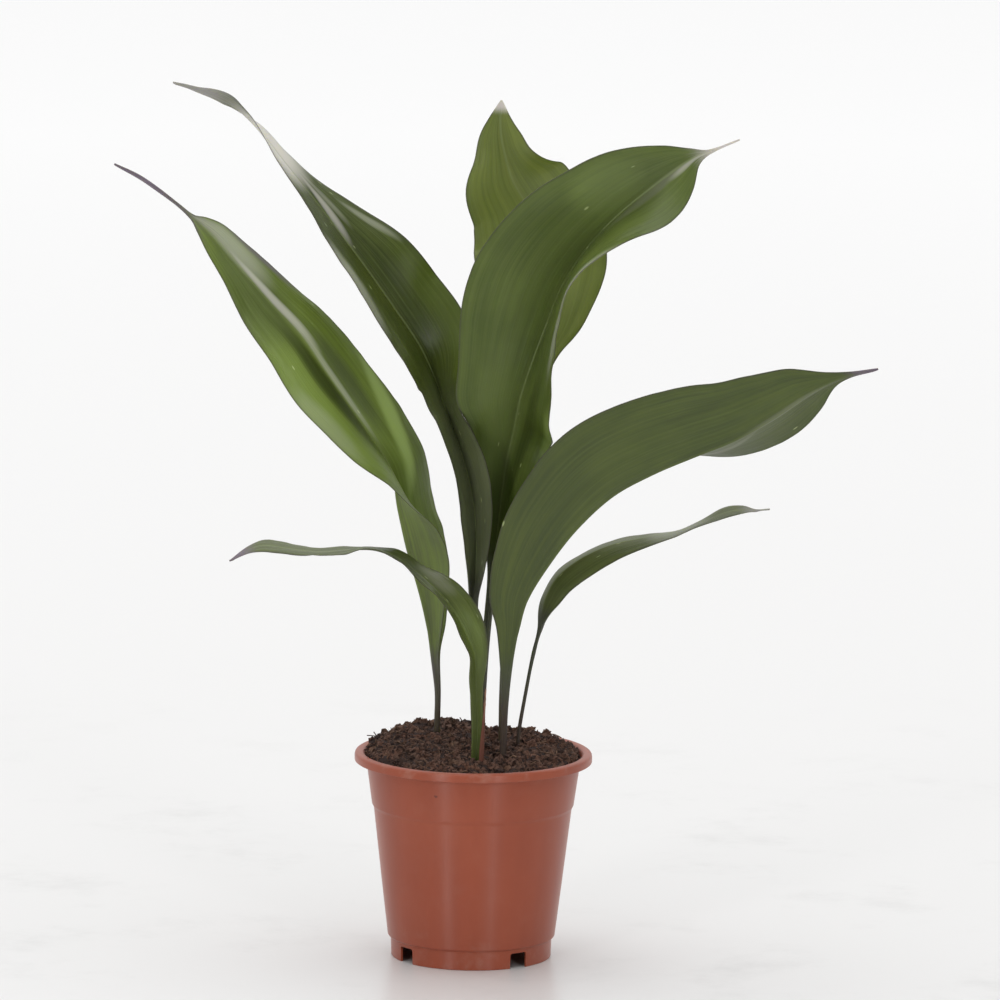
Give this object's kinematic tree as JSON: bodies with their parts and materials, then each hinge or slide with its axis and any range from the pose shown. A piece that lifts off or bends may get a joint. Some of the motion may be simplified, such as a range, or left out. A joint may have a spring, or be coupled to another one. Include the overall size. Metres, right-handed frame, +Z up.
{
  "type": "potted cast iron plant",
  "caption": "Potted cast iron plant: arching strap leaves on stalks that rise from peat in a round tapered nursery pot",
  "frame": {"origin": "centre of the pot's foot, on the surface that the pot stands on", "axes": "+Z up, the plant's front looks along -Y, +X to the right seen from the front"},
  "size_m": [0.4475, 0.178, 0.5153],
  "materials": {
    "terracotta_plastic": "satin terracotta brown plastic",
    "peat": "crumbly dark peat",
    "rhizome_skin": "rough pale brown skin",
    "dry_sheath": "dry papery brown red",
    "leaf_green": "glossy deep green leaf",
    "young_leaf_green": "glossy yellow green leaf"
  },
  "bodies": {
    "root": {"nursery_pot": "terracotta_plastic", "potting_soil": "peat", "rhizome_front": "rhizome_skin", "rhizome_back": "rhizome_skin", "dry_sheath": "dry_sheath", "leaf_tall_left": "leaf_green", "leaf_broad_left": "young_leaf_green", "leaf_small_left": "young_leaf_green", "leaf_centre_front": "leaf_green", "leaf_centre_back": "leaf_green", "leaf_broad_right": "leaf_green", "leaf_small_right": "leaf_green"}
  },
  "joints": []
}
